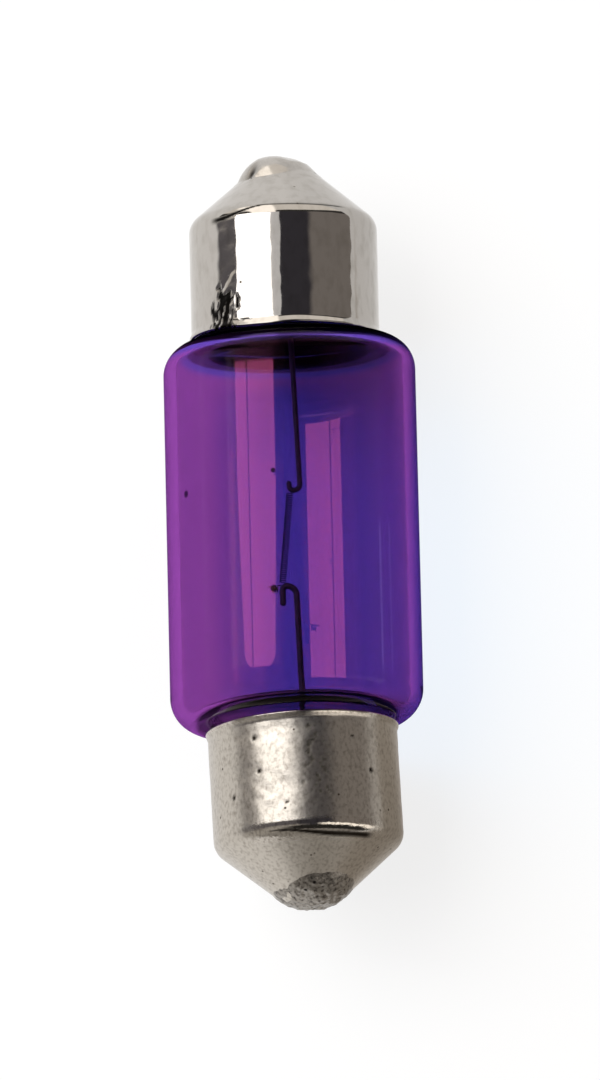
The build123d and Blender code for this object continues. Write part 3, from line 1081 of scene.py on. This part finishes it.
# %% World
world = bpy.data.worlds.new("studio")
scene.world = world
world.use_nodes = True
tree = world.node_tree
tree.nodes.clear()
X, Y, Z = axes(tree, space="Generated")
turn = put(tree, "Math", {0: X, 1: Z}, operation="ARCTAN2")
share = put(tree, "MapRange", {"Value": turn, "From Min": -pi, "From Max": pi})
ramp = put(tree, "ValToRGB", {0: share}, out=None)
white, left_grey, black, brown = (colour(code) for code in ("#F3F3F3", "#6C696D", "#3F3D43", "#89837F"))
bands = [  # angle from straight above in degrees, and the tone there
    (-180, white), (-90, white), (-86, left_grey), (-14, left_grey), (-10, black), (30, black),
    (36, brown), (90, brown), (91, white), (180, white),
]
stops = ramp.color_ramp.elements
stops[0].color = bands[0][1]
stops[1].color = bands[-1][1]
for angle, tone in bands[1:-1]:
    stops.new((angle + 180) / 360).color = tone
print("bands round the bulb:", len(bands))

# %% Walls of the room
warm_white = np.array(colour("#FFF9F1"))
walls = {  # level, and the limits of the directions in which the wall is seen
    "left card": (0.75, (Y, 0.21, 0.25), (X, -0.4, -0.6)),
    "upper gap": (0.05, (Y, 0.46, 0.5)),
    "upper wall": (1.0, (Y, 0.6, 0.66)),
    "left wall": (0.45, (Y, -0.25, -0.4), (X, 0.1, -0.3)),
    "right sliver": (1.8, (Y, -0.22, -0.3), (X, 0.2, 0.35)),
    "lower gap": (0.03, (Y, -0.42, -0.48), (X, -0.6, -0.2)),
    "lower wall": (0.33, (Y, -0.7, -0.8)),
    "overhead card": (2.0, (X, -0.12, -0.17), (X, -0.62, -0.55), (Y, 0.46, 0.48), (Z, 0.0, 0.1)),
}
room = ramp.outputs[0]
for level, *limits in walls.values():
    tone = tuple(level * warm_white)
    room = put(tree, "Mix", {"Factor": zone(tree, *limits), "A": room, "B": tone}, **BLEND)
backdrop = put(tree, "Background", {"Color": room, "Strength": 1.0})
put(tree, "OutputWorld", {"Surface": backdrop}, out=None)
print("walls:", ", ".join(walls))

# %% [markdown]
# ## The lamps
# One soft lamp from the upper left lights the bulb. A single lamp would show in metal and glass alike,
# so it is made of parts: a softbox that the metal mirrors, two strips with a seam between them that
# show in the glass, and a large fill that lights bulb and paper without being mirrored. Softbox and
# strips stop short of the lower end, as the streaks do.

# %% Lamps
lamp_distance = 450.0
lamps = {  # angles from straight above in degrees, ends along Y in mm, radiance, and who mirrors it
    "softbox": ((-60, -15), (64.2, 250), 2.7, "metal"),
    "softbox_edge": ((-15, -4), (86, 250), 0.8, "metal"),
    "left_strip": ((-54, -42.6), (62.9, 120), 2.75, "glass"),
    "right_strip": ((-41.4, -15.5), (62.9, 120), 2.75, "glass"),
    "fill": ((-60, -15), (-150, 350), 3.7, "neither"),
}
for name, (angles, (start, end), radiance, seen_by) in lamps.items():
    left_edge, right_edge = (radians(angle) for angle in angles)
    middle = (left_edge + right_edge) / 2
    lamp = bpy.data.lights.new(name, "AREA")
    lamp.shape = "RECTANGLE"
    lamp.size = 2 * lamp_distance * tan((right_edge - left_edge) / 2) * MM
    lamp.size_y = (end - start) * MM
    lamp.energy = radiance * pi * lamp.size * lamp.size_y
    holder = bpy.data.objects.new(name, lamp)
    across, upward = lamp_distance * sin(middle), lamp_distance * cos(middle)
    holder.location = Vector((across, (start + end) / 2, upward)) * MM
    holder.rotation_euler = (0, middle, 0)
    holder.visible_glossy = seen_by == "metal"
    holder.visible_transmission = seen_by == "glass"
    scene.collection.objects.link(holder)
    print(f"{name}: {lamp.energy:.3f} W")
